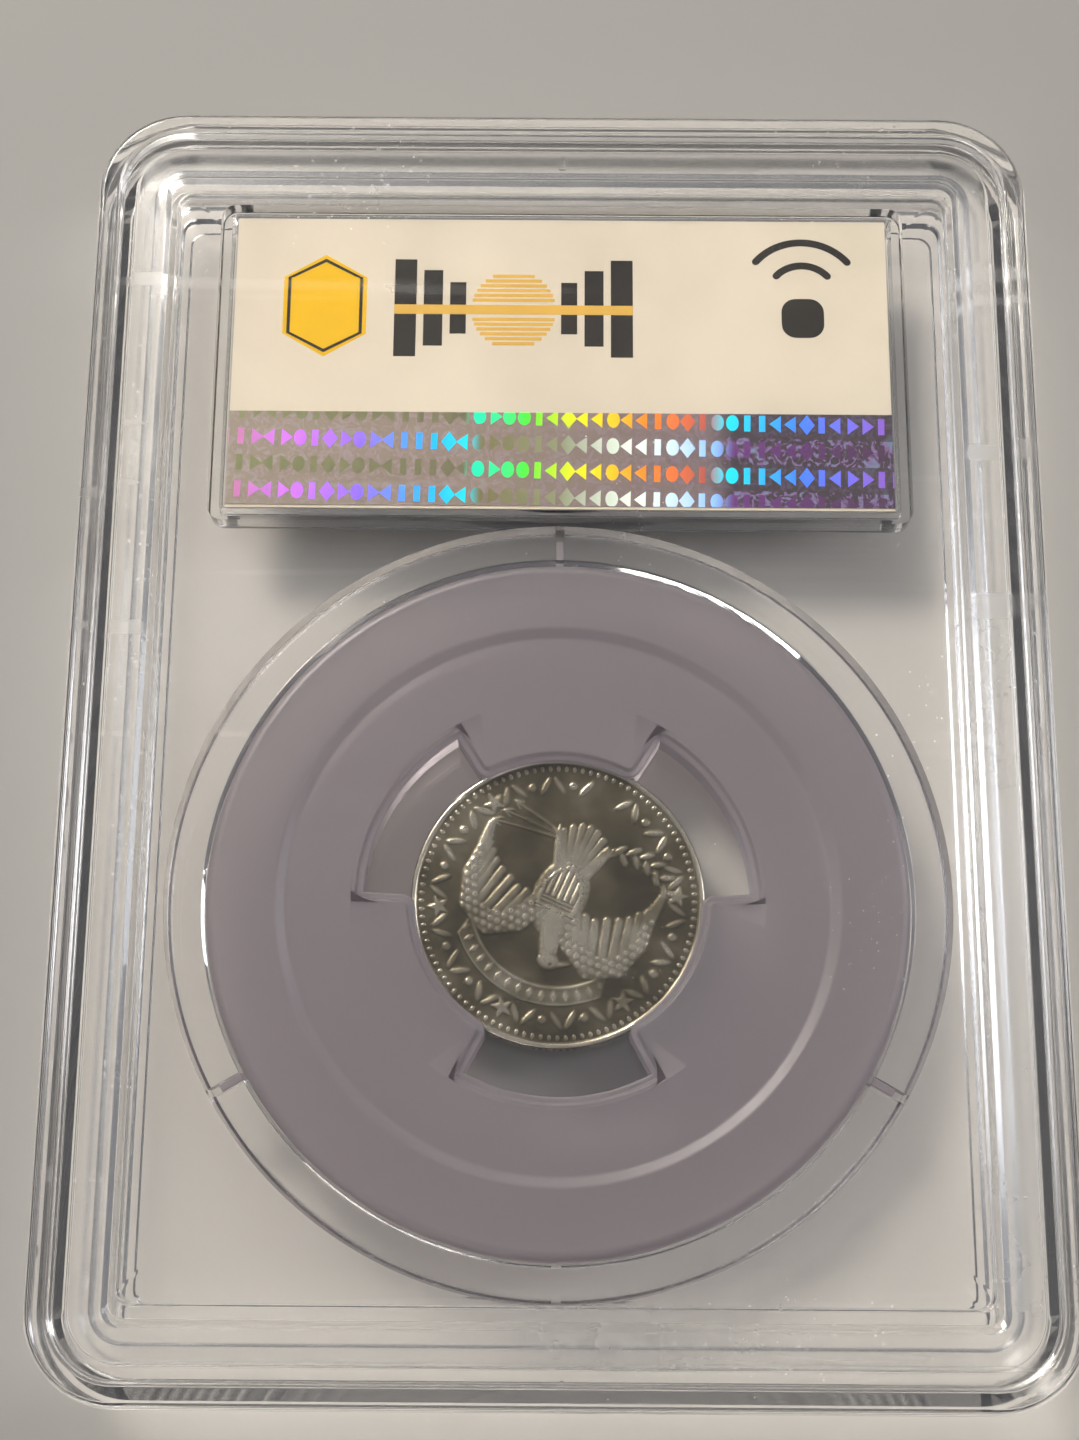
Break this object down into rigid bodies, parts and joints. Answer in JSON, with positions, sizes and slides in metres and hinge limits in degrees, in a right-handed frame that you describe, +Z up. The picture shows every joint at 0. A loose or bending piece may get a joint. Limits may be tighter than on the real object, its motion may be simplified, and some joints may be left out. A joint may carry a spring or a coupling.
{
  "type": "graded coin slab",
  "caption": "Flat rectangular clear plastic coin slab with rounded corners, a paper label window at one end and a small coin gripped by prongs in a round holder.",
  "frame": {"origin": "centre of the slab's footprint on the surface it lies on, front face down", "axes": "+Z up out of the back face, +Y along the slab's length towards the label, +X across it"},
  "size_m": [0.0636, 0.0856, 0.008],
  "materials": {
    "clear_shell": "gloss",
    "soft_holder": "satin",
    "toned_silver": "satin",
    "label_paper": "matte",
    "tag_film": "gloss",
    "antenna_foil": "satin",
    "chip": "matte",
    "hologram_foil": "gloss"
  },
  "bodies": {
    "case": {"front_shell": "clear_shell", "back_shell": "clear_shell", "coin_holder": "soft_holder", "label_front_sheet": "label_paper", "tag_film": "tag_film", "tag_antenna": "antenna_foil", "tag_chip": "chip", "label_back_sheet": "label_paper", "hologram_strip": "hologram_foil"},
    "coin": {"coin": "toned_silver"}
  },
  "joints": [
    {"name": "coin_turn", "type": "hinge", "parent": "case", "child": "coin", "pos_m": [0, -0.0118, 0.004], "axis": [0, 0, 1], "continuous": true}
  ]
}
